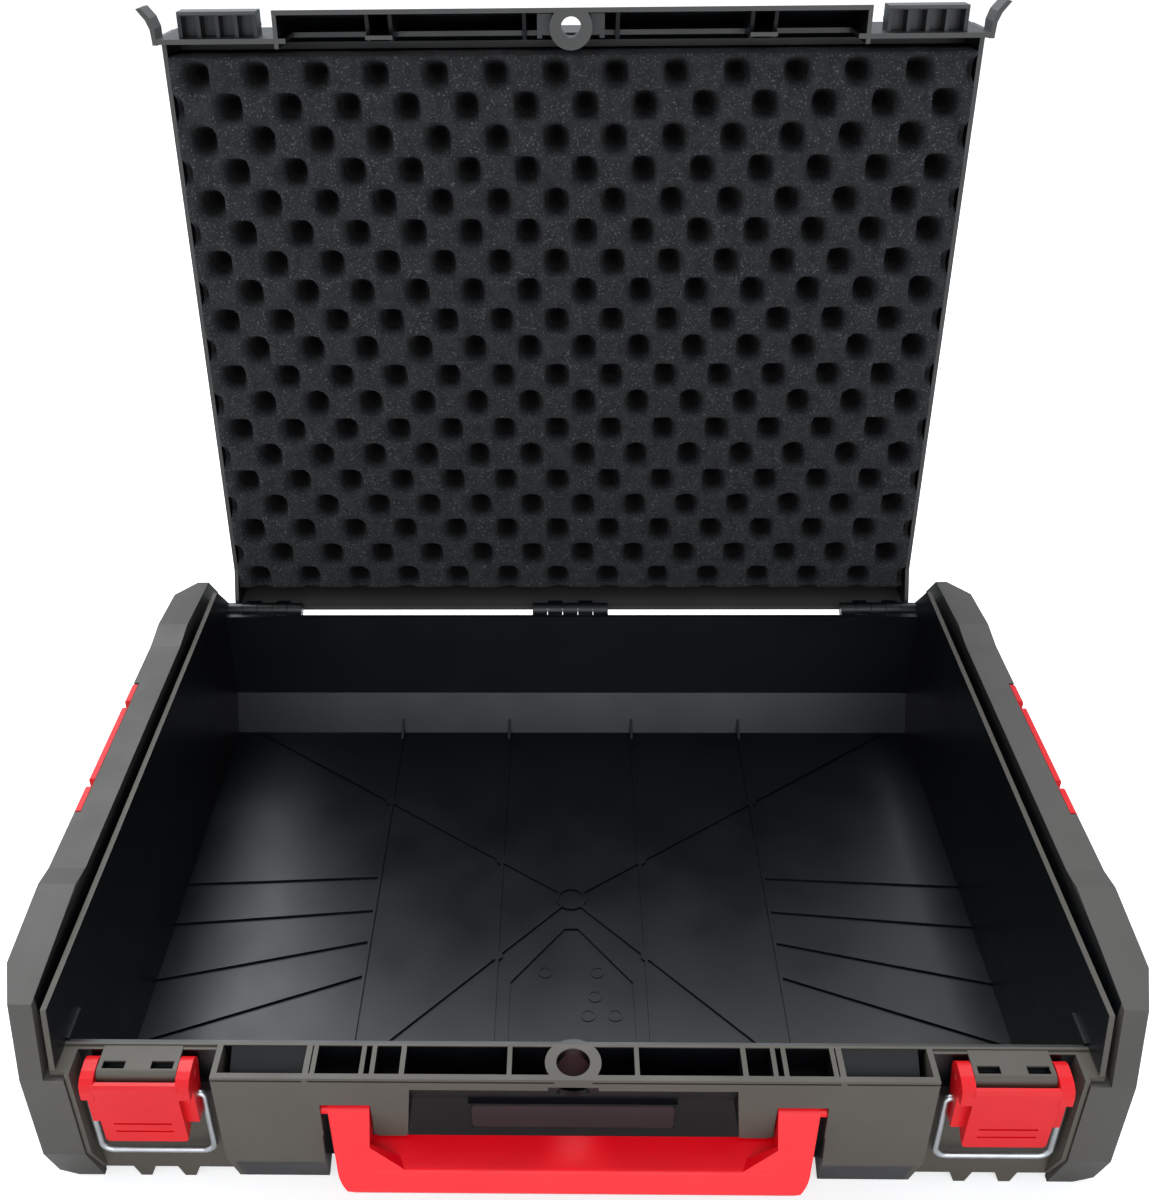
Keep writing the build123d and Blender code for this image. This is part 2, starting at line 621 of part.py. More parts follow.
# Lid, one moulding
band_slope = [
    (band_face, lid_rim), (band_face + band_lean, band_shoulder), (band_top_y, lid_top),
    (lid_front_in + wall, lid_top), (lid_front_in + wall, lid_rim),
]
with BuildPart() as lid_shell:
    lid_front = lid_front_in - wall
    across([(lid_front, lid_rim), (lid_front, lid_top - 6), (lid_front + 6, lid_top),
            (lid_rear - 8, lid_top), (lid_rear, lid_top - 8), (lid_rear, lid_rear_rim),
            (hinge_y - 4, lid_rear_rim), (hinge_y - 22, lid_side_rim),
            (lid_front_in + 1.2, lid_side_rim), (lid_front_in + 0.4, lid_rim)], -lid_half, lid_half)
    across([(lid_front_in, lid_rim - 1), (lid_front_in, lid_top - 8), (lid_front_in + 5, lid_inside),
            (lid_rear - wall - 6, lid_inside), (lid_rear - wall, lid_top - 10),
            (lid_rear - wall, lid_rear_rim - 1)],
           -lid_half + wall, lid_half - wall, Mode.SUBTRACT)

    # Front band: its shell, then its webs, cells and ends
    across(band_slope, -fascia_half, fascia_half)
    across([(band_face + band_wall, lid_rim - 1), (band_face + band_wall + band_lean, band_shoulder - 1),
            (band_top_y + 0.5, lid_top - 4), (lid_front_in + wall + 1, lid_inside),
            (lid_front_in + wall + 1, lid_rim - 1)],
           -fascia_half + band_wall, fascia_half - band_wall, Mode.SUBTRACT)
    across([(lid_front_in, lid_rim + 24), (lid_front_in, lid_top - 1), (lid_front, lid_top - 1),
            (lid_front, lid_rim + 24)], -fascia_half, fascia_half)
    band_web = [(band_face + 0.5, lid_rim), (band_face + 0.5, band_shoulder),
                (band_top_y, lid_top - 1), (lid_front_in, lid_top - 1), (lid_front_in, lid_rim + 6)]
    for side in (-1, 1):
        for x in (partition_x, cell_in + rib / 2, cell_out - rib / 2):
            across(band_web, side * x - rib / 2, side * x + rib / 2)
        block(beside(side, cell_in, cell_out), (cell_back, cell_back + rib), (lid_rim, band_shoulder))
        across([(lid_front_in, lid_rim), (lid_front_in, lid_top - 1), (lid_front, lid_top - 1),
                (lid_front, lid_rim)], *beside(side, fascia_half - 6, lid_half - 1))

        # Catch box with its cells and the low ridge that keeps the bail's bar
        block(beside(side, catch_in, catch_out), (catch_front, lid_front + 0.5), (catch_foot, catch_top))
        pitch = (catch_out - catch_in - rib) / catch_cells
        for i in range(catch_cells):
            x = catch_in + rib + i * pitch
            block(beside(side, x, x + pitch - rib), (catch_front + rib, lid_front - 0.1),
                  (catch_foot - 1, catch_top - wall), Mode.SUBTRACT)
        across([(bail_bar_y - wire_r - 0.6, catch_top - 0.5), (bail_bar_y - wire_r - 0.8, catch_top + 1.1),
                (bail_bar_y - wire_r - 1.8, catch_top + 1.1), (bail_bar_y - wire_r - 3.0, catch_top - 0.5)],
               *beside(side, catch_in, catch_out))

        # Flared corner that closes the gap to the rail
        horn_face = lid_half - wall + 0.4
        upward([(horn_face, lid_front + 1), (lid_half, lid_front + 1), (lid_half + 0.4, -174.5),
                (lid_half + 2.2, -179.0), (horn_out, horn_reach), (horn_out - 2.6, horn_reach - 0.5),
                (lid_half - 0.4, -179.8), (horn_face, -174.8)], lid_rim, horn_top, side)

    # Padlock eye with an open pocket above it
    block((-eye_pocket_half - wall, eye_pocket_half + wall), (band_face + 0.5, lid_front + 0.5),
          (eye_pocket_floor - wall, band_shoulder - 2))
    block((-eye_pocket_half, eye_pocket_half), (band_face - 1, lid_front),
          (eye_pocket_floor, lid_top + 1), Mode.SUBTRACT)
    for side in (-1, 1):
        across([(band_face + 0.5, lid_rim + 12), (band_face + 0.5, band_shoulder), (band_top_y, lid_top - 1),
                (lid_front_in, lid_top - 1), (lid_front_in, lid_rim + 12)],
               *beside(side, eye_pocket_half, eye_pocket_half + wall))
    drum(0, eye_y, lid_rim, eye_pocket_floor - 1, eye_lid_boss)
    across([(band_face - 4, lid_rim - 1), (band_face, lid_rim - 1), (band_face, lid_rim),
            (band_face + band_lean, band_shoulder), (band_top_y, lid_top), (band_top_y - 4, lid_top + 1),
            (band_face - 4, band_shoulder)], -fascia_half - 1, fascia_half + 1, Mode.SUBTRACT)
    block((-eye_lid_boss - 1, eye_lid_boss + 1), (band_face - 3, band_face), (lid_rim - 1, eye_pocket_floor),
          Mode.SUBTRACT)
    drum(0, eye_y, lid_rim - 1, eye_pocket_floor + 1, eye_lid_hole, Mode.SUBTRACT)

    # Hinge knuckles on the rear wall
    for group in hinge_groups:
        for x0, x1 in knuckle_spans(group)[1::2]:
            across([(lid_rear - wall, lid_rear_rim + 8), (hinge_y - 1.5, hinge_z),
                    (hinge_y + knuckle_r - 0.6, hinge_z), (lid_rear, lid_rear_rim + 2),
                    (lid_rear, lid_rear_rim + 8)], x0, x1)
            rod(hinge_y, hinge_z, x0, x1, knuckle_r)
        low, high = hinge_groups[group]
        for x0, x1 in knuckle_spans(group)[::2]:
            rod(hinge_y, hinge_z, x0 - knuckle_gap, x1 + knuckle_gap, knuckle_r + run_gap, Mode.SUBTRACT)
        rod(hinge_y, hinge_z, low - 1, high + 1, hinge_pin_r + pin_fit, Mode.SUBTRACT)
    add(lid_shell.part.rotate(hinge_axis, -open_angle), mode=Mode.REPLACE)
lid_shell.part.label = "lid_shell"
export_step(lid_shell.part, "parts/lid_shell.step")

# Foam pad with its staggered pits
with BuildPart() as lid_foam:
    foam_half = lid_half - wall - seat_gap
    block((-foam_half, foam_half), (foam_front, foam_rear), (foam_crest, foam_crest + foam_thick))
    pits = []
    for row in range(foam_rows):
        x = foam_first_x + (row % 2) * foam_pitch_x / 2
        while x < foam_half - pit_r - foam_edge:
            pits.append((x, foam_first_row + row * foam_pitch_y, foam_crest))
            x += foam_pitch_x
    with Locations(*pits):
        Cone(pit_r, pit_r_deep, pit_depth, align=(Align.CENTER, Align.CENTER, Align.MIN),
             mode=Mode.SUBTRACT)
    add(lid_foam.part.rotate(hinge_axis, -open_angle), mode=Mode.REPLACE)
lid_foam.part.label = "lid_foam"
export_step(lid_foam.part, "parts/lid_foam.step")

# Latches
for side, name in ((-1, "left"), (1, "right")):
    middle = side * bay_x
    with BuildPart() as latch_lever:
        across([(plate_face, plate_top - 1.5), (plate_face + 1, plate_top),
                (plate_face + plate_thick, plate_top), (plate_foot_face + plate_thick, plate_foot),
                (plate_foot_face, plate_foot)], middle - plate_half, middle + plate_half)
        fillet(latch_lever.edges().filter_by(Axis.Y).group_by(Axis.Z)[0], plate_corner)
        for way in (-1, 1):
            near, far = middle + way * ear_in, middle + way * ear_out
            across([(plate_face, ear_foot), (plate_face, pivot_z), (plate_face + 0.8, pivot_z + 3.0),
                    (plate_face + 3.2, pivot_z + 5.0), (pivot_y - 4.5, pivot_z + ear_r - 0.4),
                    (pivot_y, pivot_z + ear_r), (pivot_y + ear_r * 0.8, pivot_z - ear_r * 0.6),
                    (lug_y + lug_r, lug_z), (lug_y + 1.5, lug_foot + 2), (lug_y - 1, lug_foot),
                    (lug_front, lug_foot), (lug_front, ear_foot)], near, far)
            rod(pivot_y, pivot_z, near, far, ear_r)
            rod(lug_y, lug_z, near, far, lug_r)
            flange = middle + way * (plate_half - rib)
            across([(plate_face + 1, plate_top - 8), (plate_foot_face + 1, plate_foot + 1),
                    (plate_foot_face + 6, plate_foot + 4), (block_front - run_gap, pocket_floor)],
                   flange, flange + way * rib)
        rod(pivot_y, pivot_z, middle - ear_out - 1, middle + ear_out + 1, latch_pin_r + pin_fit, Mode.SUBTRACT)
        rod(lug_y, lug_z, middle - ear_out - 1, middle + ear_out + 1, wire_r + axle_fit, Mode.SUBTRACT)
        for z in groove_z:
            block((middle - groove_half, middle + groove_half), (plate_face - 2, plate_foot_face - 0.3 + groove_deep),
                  (z - 0.6, z + 0.6), Mode.SUBTRACT)
    latch_lever.part.label = f"latch_lever_{name}"
    export_step(latch_lever.part, f"parts/latch_lever_{name}.step")

    with BuildPart() as latch_pin:
        rod(pivot_y, pivot_z, middle - ear_out + 0.3, middle + ear_out - 0.3, latch_pin_r)
    latch_pin.part.label = f"latch_pin_{name}"
    export_step(latch_pin.part, f"parts/latch_pin_{name}.step")

    with BuildPart() as latch_bail:
        bar_low = lug_z - bail_leg
        points = [(middle - ear_in - 0.2, lug_y, lug_z), (middle - leg_off, lug_y, lug_z),
                  (middle - leg_off, lug_y, bar_low), (middle + leg_off, lug_y, bar_low),
                  (middle + leg_off, lug_y, lug_z), (middle + ear_in + 0.2, lug_y, lug_z)]
        with BuildLine() as wire:
            FilletPolyline(*points, radius=[bail_bend, bail_corner, bail_corner, bail_bend])
        with BuildSketch(Plane(points[0], z_dir=(-1, 0, 0))):
            Circle(wire_r)
        sweep(path=wire.line)
    latch_bail.part.label = f"latch_bail_{name}"
    export_step(latch_bail.part, f"parts/latch_bail_{name}.step")

# Carry handle, its front a plane that touches the arms' round heads
reach = hypot(bar_tip[0] - grip_y, bar_tip[1] - grip_z)
tip_angle = atan2(bar_tip[1] - grip_z, bar_tip[0] - grip_y)
touch = tip_angle - (radians(90) - asin(grip_eye_r / reach))
shoulder = (grip_y + grip_eye_r * cos(touch), grip_z + grip_eye_r * sin(touch))


def grip_front_y(z):
    """The handle's front face at height z."""
    share = (z - bar_tip[1]) / (shoulder[1] - bar_tip[1])
    return bar_tip[0] + share * (shoulder[0] - bar_tip[0])


edge_y = grip_front_y(edge_z)
with BuildPart() as carry_handle:
    for side in (-1, 1):
        # Bevel between arm and bar, flush with the front
        across([(grip_front_y(bevel_z), bevel_z), (edge_y, edge_z), (edge_y + bevel_deep, edge_z),
                (grip_front_y(bevel_z) + 2, bevel_z)], *beside(side, bevel_x, arm_in + 0.5))
        along([(bevel_x - 1, edge_z), (bevel_x, edge_z), (arm_in, bevel_z), (arm_in, bevel_z + 1),
               (bevel_x - 1, bevel_z + 1)], bar_tip[0] - 1, bar_back, side, Mode.SUBTRACT)
    for side in (-1, 1):
        across([shoulder, bar_tip, (bar_tip[0] + 1.0, bar_foot + 1.2), (bar_tip[0] + 2.6, bar_foot),
                (bar_back - 2, bar_foot), (bar_back, bar_foot + 2), (bar_back, bar_back_top),
                (grip_y + grip_eye_r * 0.85, grip_z - grip_eye_r * 0.5), (grip_y, grip_z)],
               *beside(side, arm_in, arm_out))
        rod(grip_y, grip_z, side * arm_in, side * arm_out, grip_eye_r)
    with BuildSketch(Plane.YZ.offset(-arm_out)) as section:
        with BuildLine():
            Polyline((bar_back, bar_back_top), (edge_y, edge_z), bar_tip,
                     (bar_tip[0] + 1.0, bar_foot + 1.2), (bar_tip[0] + 2.6, bar_foot),
                     (bar_back - 2, bar_foot), (bar_back, bar_foot + 2), close=True)
        make_face()
        fillet(section.vertices().sort_by_distance((edge_y, edge_z, 0))[:1], bar_round)
    extrude(section.sketch, amount=2 * arm_out)
    # Arms draw in towards the bar, whose lower corners are round
    with BuildSketch(Plane.XZ.offset(-bar_back - 10)) as front:
        with BuildLine():
            Polyline((-arm_out, grip_z + 10), (-arm_out, grip_z + 4), (-arm_foot, bar_foot),
                     (arm_foot, bar_foot), (arm_out, grip_z + 4), (arm_out, grip_z + 10), close=True)
        make_face()
        fillet(front.vertices().sort_by(Axis.Y)[:2], bar_corner)
    extrude(front.sketch, amount=40, mode=Mode.INTERSECT)
    for side in (-1, 1):
        rod(grip_y, grip_z, side * (arm_out - 1), side * (recess_wall + trunnion_reach), trunnion_r)
carry_handle.part.label = "carry_handle"
export_step(carry_handle.part, "parts/carry_handle.step")
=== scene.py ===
"""Dresses the stackable tool case: moulded plastics, zinc wire, foam pad, light and camera."""

from math import cos, pi, radians, sin

import bmesh
import bpy
from bpy.props import FloatProperty, FloatVectorProperty, PointerProperty, StringProperty
from mathutils import Matrix, Vector, noise


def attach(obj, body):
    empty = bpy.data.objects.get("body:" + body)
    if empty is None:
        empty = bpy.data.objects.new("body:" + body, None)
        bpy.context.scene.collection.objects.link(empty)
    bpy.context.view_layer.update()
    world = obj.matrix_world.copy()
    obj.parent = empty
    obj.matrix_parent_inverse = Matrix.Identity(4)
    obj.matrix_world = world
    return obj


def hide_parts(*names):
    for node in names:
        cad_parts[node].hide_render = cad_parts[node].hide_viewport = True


bl_info = {
    "name": "Tool case",
    "version": (1, 0, 0),
    "blender": (4, 5, 0),
    "location": "View3D > Sidebar > Tool case",
    "description": "Finishes a stackable tool case with a foam-lined lid",
    "category": "Object",
}

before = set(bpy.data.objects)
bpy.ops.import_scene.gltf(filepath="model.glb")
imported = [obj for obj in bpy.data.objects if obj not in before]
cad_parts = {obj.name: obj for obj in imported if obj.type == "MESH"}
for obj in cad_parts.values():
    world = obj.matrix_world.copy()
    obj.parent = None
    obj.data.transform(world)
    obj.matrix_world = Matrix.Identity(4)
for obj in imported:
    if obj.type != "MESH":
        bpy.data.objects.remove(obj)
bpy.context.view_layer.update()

MM = 0.001
SIDES = ("left", "right")

# The lid is described where it lies when closed, then turned open about its hinge
LID_HINGE = Vector((0, 172.8, 88.4)) * MM
LID_OPEN = radians(-92.5)

# Where each moulding is polished black, as low and high corners in millimetres
# In the tub the latch pockets' black is painted shade, and the recess behind the handle is partly painted
# shade
TUB_POLISHED_AND_SHADED = (
    ((-219.6, -164.6, 0), (219.6, 165.2, 130)),  # the tub's inside
    ((-219.6, -182, 84), (219.6, 178, 130)),  # side walls over the rim, and rear knuckles
    ((-150.4, -180.2, -5), (150.4, -164.5, 83.1)),  # recess behind the handle, polished and partly painted shade, and rim cells
    ((-213.3, -178, 60), (-153.2, -164.5, 82.3)),  # left latch pocket, its black painted shade
    ((153.2, -178, 60), (213.3, -164.5, 82.3)),  # right latch pocket, its black painted shade
)
RAILS_POLISHED = (
    ((-224.6, -170, 0), (224.6, 180, 121)),  # the faces that lie against the tub
)
LID_POLISHED = (
    ((-213.6, -180.8, 84.7), (213.6, 173.4, 129.8)),  # the lid's inside and its rim cells
    ((-220, 165, 82), (220, 180, 93)),  # hinge knuckles
)

# The foam's block in the closed lid, and the first pit of its first row
FOAM_HALF = 213.2 * MM
FOAM_FRONT, FOAM_REAR = -158.7 * MM, 162.8 * MM
FOAM_CREST, FOAM_BACK = 99.2 * MM, 129.2 * MM
FIRST_PIT_X, FIRST_PIT_Y = -200 * MM, -149.7 * MM

# Height of the wave, from 0 to 1, at which a pit begins, and what it rises by to the full depth
PIT_STARTS, PIT_SPAN = 0.02, 0.76

# Near a cut edge a pit is shallower, down to this share of its depth at the edge itself
CUT_BAND = 7 * MM
CUT_SHARE = 0.3

# The pad is uneven in patches: pits vary by a share of their depth, and crests by a little
UNEVEN_PATCH = 24 * MM
UNEVEN_PITS = 0.12
UNEVEN_CREST = 1.2 * MM

# Cut edges pull in where a pit meets them, over this many points of the mesh
EDGE_PULL = 1.6 * MM
EDGE_POINTS = 3

# The floor's size to each side in metres, and the glow that shows it white to the camera
FLOOR_HALF = 6
FLOOR_GLOW = 0.62

# What lights the case from all round: a pale blue room
ROOM_TINT = (0.86, 0.93, 1.0, 1)
ROOM_LIGHT = 0.5

# Each soft box: name, place and target, side in metres, watts and tint
LAMPS = (
    ("overhead_softbox", (-0.2, 1.15, 1.95), (0, -0.05, 0.0), 1.7, 62, (0.93, 0.97, 1.0)),
    ("front_softbox", (0.2, -2.3, 0.95), (0, -0.1, 0.1), 2.2, 32, (0.97, 0.98, 1.0)),
    ("left_softbox", (-1.6, -0.6, 1.1), (0, 0, 0.15), 1.2, 5, (1.0, 0.97, 0.93)),
)

# The phone, held in front of the case and looking down into it
CAMERA_PLACE = (-0.0032, -0.5517, 0.5559)
CAMERA_YAW, CAMERA_PITCH, CAMERA_ROLL = radians(-1.32), radians(31.99), radians(-0.75)
CAMERA_LENS, CAMERA_SENSOR = 40.40, 36
CAMERA_SHIFT_X, CAMERA_SHIFT_Y = 0.033, -0.0087


class ToolCaseSizes(bpy.types.PropertyGroup):
    foam_pitch_across: FloatProperty(
        name="Pit pitch across", description="Distance between pits in a row of the foam",
        default=32 * MM, min=10 * MM, max=80 * MM, unit="LENGTH")
    foam_pitch_along: FloatProperty(
        name="Row pitch", description="Distance between rows of pits",
        default=17 * MM, min=5 * MM, max=40 * MM, unit="LENGTH")
    foam_depth: FloatProperty(
        name="Pit depth", description="How deep the foam's pits are below its crests",
        default=20 * MM, min=2 * MM, max=28 * MM, unit="LENGTH")
    foam_step: FloatProperty(
        name="Foam mesh step", description="Distance between points of the foam's mesh",
        default=2.6 * MM, min=1 * MM, max=8 * MM, unit="LENGTH")
    edge_radius: FloatProperty(
        name="Edge radius", description="Rounding of the mouldings' outer edges",
        default=0.6 * MM, min=0.1 * MM, max=3 * MM, unit="LENGTH")
    grain: FloatProperty(
        name="Grain", description="Grain width of the spark-eroded mould surface",
        default=0.9 * MM, min=0.2 * MM, max=4 * MM, unit="LENGTH")


class ToolCaseColours(bpy.types.PropertyGroup):
    body: StringProperty(name="Body", description="Grained outside of the tub", default="#534e46")
    # The inside colour also stands as painted shade in the tub's latch pockets and, in part, in the recess
    # behind its handle
    inside: StringProperty(name="Inside", description="Polished insides of tub and lid", default="#07090d")
    rail: StringProperty(name="Rails", description="Grained side rails", default="#4b4844")
    lid: StringProperty(name="Lid", description="Grained outside of the lid", default="#454443")
    handle: StringProperty(name="Handle", description="Polished handle", default="#fb0018")
    latch: StringProperty(name="Latches", description="Satin latch levers and side clips", default="#de141d")
    foam: StringProperty(name="Foam", description="Crests of the foam", default="#2d2e30")
    # Painted shade: the colour that the foam's pits darken to at their bottom
    foam_pit_shade: StringProperty(name="Foam pits", description="Bottom of the foam's pits", default="#020304")
    foam_glint: StringProperty(
        name="Foam glint", description="Cell walls that catch the light", default="#54565a")
    wire: StringProperty(name="Wire", description="Zinc-plated wire and pins", default="#d3d7da")
    window: StringProperty(name="Window", description="Tinted window of the label", default="#3a2226")
    card: StringProperty(name="Card", description="Blank card behind the window", default="#2e2220")
    floor: FloatVectorProperty(
        name="Floor", description="Pale floor and backdrop", subtype="COLOR",
        default=(0.8, 0.8, 0.8), min=0, max=1)


def linear(hex_colour):
    """An sRGB hex value as a linear colour with full opacity."""
    values = [int(hex_colour[i:i + 2], 16) / 255 for i in (1, 3, 5)]
    return tuple(v / 12.92 if v <= 0.04045 else ((v + 0.055) / 1.055) ** 2.4 for v in values) + (1.0,)


def add_node(tree, kind, settings=None, inputs=None):
    """One shader node; an input that is given a socket is linked to it, anything else is its value."""
    node = tree.nodes.new(kind)
    for name, value in (settings or {}).items():
        setattr(node, name, value)
    for name, value in (inputs or {}).items():
        if isinstance(value, bpy.types.NodeSocket):
            tree.links.new(value, node.inputs[name])
        else:
            node.inputs[name].default_value = value
    return node


def new_material(name):
    """An empty node material and its tree, output and position socket in the case's own frame."""
    material = bpy.data.materials.new(name)
    material.use_nodes = True
    tree = material.node_tree
    tree.nodes.clear()
    output = add_node(tree, "ShaderNodeOutputMaterial")
    place = add_node(tree, "ShaderNodeTexCoord").outputs["Object"]
    return material, tree, output, place


def finish_material(tree, output, shader):
    tree.links.new(shader.outputs[0], output.inputs["Surface"])


def per_metre(size):
    """Texture scale that repeats a pattern once in the given size."""
    return 1.0 / size


def cloudy(tree, place, size, low, high):
    """Soft, uneven variation between two values, its patches about size across."""
    clouds = add_node(tree, "ShaderNodeTexNoise", inputs={
        "Vector": place, "Scale": per_metre(size), "Detail": 3.0})
    spread = add_node(tree, "ShaderNodeMapRange", inputs={
        0: clouds.outputs[0], 1: 0.3, 2: 0.7, 3: low, 4: high})
    return spread.outputs[0]


def clouded_colour(tree, place, hex_colour, size, low, high):
    """A colour that is darker and lighter by shares in soft patches about size across."""
    amount = cloudy(tree, place, size, low, high)
    scaled = add_node(tree, "ShaderNodeMix", {"data_type": "RGBA", "blend_type": "MULTIPLY"}, {
        0: 1.0, 6: linear(hex_colour), 7: amount})
    return scaled.outputs[2]


def inside_box(tree, spot, low, high):
    """1 where a split position lies inside a box given by two corners in millimetres, else 0."""
    inside = None
    for axis in range(3):
        along = spot.outputs[axis]
        above = add_node(tree, "ShaderNodeMath", {"operation": "GREATER_THAN"}, {0: along, 1: low[axis] * MM})
        below = add_node(tree, "ShaderNodeMath", {"operation": "LESS_THAN"}, {0: along, 1: high[axis] * MM})
        for side in (above, below):
            if inside is None:
                inside = side
            else:
                inside = add_node(tree, "ShaderNodeMath", {"operation": "MULTIPLY"}, {
                    0: inside.outputs[0], 1: side.outputs[0]})
    return inside.outputs[0]


def inside_any_box(tree, place, boxes, turned):
    """1 in any of the boxes, which are given before a turn about the lid's hinge, else 0."""
    before = add_node(tree, "ShaderNodeVectorRotate", {"rotation_type": "X_AXIS"}, {
        "Vector": place, "Center": tuple(LID_HINGE), "Angle": turned}).outputs[0]
    spot = add_node(tree, "ShaderNodeSeparateXYZ", inputs={0: before})
    within = None
    for low, high in boxes:
        found = inside_box(tree, spot, low, high)
        if within is None:
            within = found
        else:
            within = add_node(tree, "ShaderNodeMath", {"operation": "MAXIMUM"}, {
                0: within, 1: found}).outputs[0]
    return within


# Polypropylene, injection moulded in a spark-eroded tool: fine matte grain outside that scatters the light to
# a warm grey, and a polished black in the given boxes with broad, soft reflections; in some boxes that black
# is painted shade. Real grain is about 0.2 mm wide; it is drawn coarser so that it shows.
def grained_polypropylene(name, outside, inside, grain, polished_and_shaded_boxes, turned=0.0):
    material, tree, output, place = new_material(name)
    fine = add_node(tree, "ShaderNodeTexNoise", inputs={
        "Vector": place, "Scale": per_metre(grain), "Detail": 2.0})
    bump = add_node(tree, "ShaderNodeBump", inputs={
        "Strength": 0.22, "Distance": 0.05 * MM, "Height": fine.outputs[0]})
    within = inside_any_box(tree, place, polished_and_shaded_boxes, turned)
    colour = add_node(tree, "ShaderNodeMix", {"data_type": "RGBA"}, {
        0: within,
        6: clouded_colour(tree, place, outside, 60 * MM, 0.9, 1.06),
        7: clouded_colour(tree, place, inside, 90 * MM, 0.85, 1.15)})
    roughness = add_node(tree, "ShaderNodeMix", {"data_type": "FLOAT"}, {
        0: within,
        2: cloudy(tree, place, 25 * MM, 0.5, 0.6),
        3: cloudy(tree, place, 40 * MM, 0.32, 0.42)})
    shader = add_node(tree, "ShaderNodeBsdfPrincipled", inputs={
        "Base Color": colour.outputs[2], "Roughness": roughness.outputs[0], "IOR": 1.49,
        "Normal": bump.outputs[0]})
    finish_material(tree, output, shader)
    return material


# ABS, injection moulded: even colour through the piece, with the faint ripple of the melt's flow;
# polished it shows sharp soft-box highlights, satin it only glows along its edges.
def moulded_abs(name, colour, roughness, coat):
    material, tree, output, place = new_material(name)
    ripple = add_node(tree, "ShaderNodeTexNoise", inputs={
        "Vector": place, "Scale": per_metre(6 * MM), "Detail": 1.0})
    bump = add_node(tree, "ShaderNodeBump", inputs={
        "Strength": 0.06, "Distance": 0.05 * MM, "Height": ripple.outputs[0]})
    shader = add_node(tree, "ShaderNodeBsdfPrincipled", inputs={
        "Base Color": clouded_colour(tree, place, colour, 30 * MM, 0.94, 1.03),
        "Roughness": cloudy(tree, place, 12 * MM, roughness, roughness + 0.08),
        "IOR": 1.53, "Specular IOR Level": 0.3, "Coat Weight": coat, "Coat Roughness": 0.15,
        "Normal": bump.outputs[0]})
    finish_material(tree, output, shader)
    return material


# Polyurethane foam, slab cut in an egg-crate pattern: open cells that scatter the light, with pale cell walls
# glinting on the crests, and painted shade in the pits, which darkens them from one share of their depth to
# another. Real cells are 0.4 mm; drawn at 1.3 mm so they show.
def open_cell_foam(name, crest, pit, glint, dark_from, dark_to):
    material, tree, output, place = new_material(name)
    cells = add_node(tree, "ShaderNodeTexVoronoi", inputs={"Vector": place, "Scale": per_metre(1.3 * MM)})
    specks = add_node(tree, "ShaderNodeTexNoise", inputs={
        "Vector": place, "Scale": per_metre(1.1 * MM), "Detail": 2.0})
    glinting = add_node(tree, "ShaderNodeMapRange", inputs={
        0: specks.outputs[0], 1: 0.58, 2: 0.7, 3: 0.0, 4: 1.0})
    # Painted shade: the pits darken towards the pit colour as they deepen
    depth = add_node(tree, "ShaderNodeAttribute", {"attribute_name": "pit_depth"})
    deep = add_node(tree, "ShaderNodeMapRange", inputs={
        0: depth.outputs["Fac"], 1: dark_from, 2: dark_to, 3: 0.0, 4: 1.0})
    speckled = add_node(tree, "ShaderNodeMix", {"data_type": "RGBA"}, {
        0: glinting.outputs[0],
        6: clouded_colour(tree, place, crest, 5 * MM, 0.75, 1.2),
        7: linear(glint)})
    colour = add_node(tree, "ShaderNodeMix", {"data_type": "RGBA"}, {
        0: deep.outputs[0], 6: speckled.outputs[2], 7: linear(pit)})
    bump = add_node(tree, "ShaderNodeBump", inputs={
        "Strength": 0.8, "Distance": 0.5 * MM, "Height": cells.outputs["Distance"]})
    shader = add_node(tree, "ShaderNodeBsdfPrincipled", inputs={
        "Base Color": colour.outputs[2], "Roughness": 0.95, "Specular IOR Level": 0.06,
        "Sheen Weight": 0.05, "Sheen Roughness": 0.6, "Normal": bump.outputs[0]})
    finish_material(tree, output, shader)
    return material


# Steel wire, zinc-plated and passivated: bright and faintly blue, with the marks of drawing.
# Real marks are a tenth of a millimetre; drawn at 1.5 mm so they show.
def zinc_plated_steel(name, colour, roughness):
    material, tree, output, place = new_material(name)
    drawn = add_node(tree, "ShaderNodeTexNoise", inputs={
        "Vector": place, "Scale": per_metre(1.5 * MM), "Detail": 2.0})
    bump = add_node(tree, "ShaderNodeBump", inputs={
        "Strength": 0.04, "Distance": 0.03 * MM, "Height": drawn.outputs[0]})
    shader = add_node(tree, "ShaderNodeBsdfPrincipled", inputs={
        "Base Color": clouded_colour(tree, place, colour, 8 * MM, 0.85, 1.0),
        "Metallic": 1.0, "Roughness": cloudy(tree, place, 6 * MM, roughness, roughness + 0.12),
        "Normal": bump.outputs[0]})
    finish_material(tree, output, shader)
    return material


# Polycarbonate sheet, extruded and tinted: glossy, so dark that the card behind only tints it.
def tinted_polycarbonate(name, colour):
    material, tree, output, place = new_material(name)
    shader = add_node(tree, "ShaderNodeBsdfPrincipled", inputs={
        "Base Color": clouded_colour(tree, place, colour, 20 * MM, 0.9, 1.05),
        "Roughness": cloudy(tree, place, 20 * MM, 0.08, 0.14), "IOR": 1.58})
    finish_material(tree, output, shader)
    return material


# Card, uncoated: matte, with a faint mottle of its fibres, 2 mm across.
def uncoated_card(name, colour):
    material, tree, output, place = new_material(name)
    shader = add_node(tree, "ShaderNodeBsdfPrincipled", inputs={
        "Base Color": clouded_colour(tree, place, colour, 2 * MM, 0.85, 1.1), "Roughness": 0.9})
    finish_material(tree, output, shader)
    return material


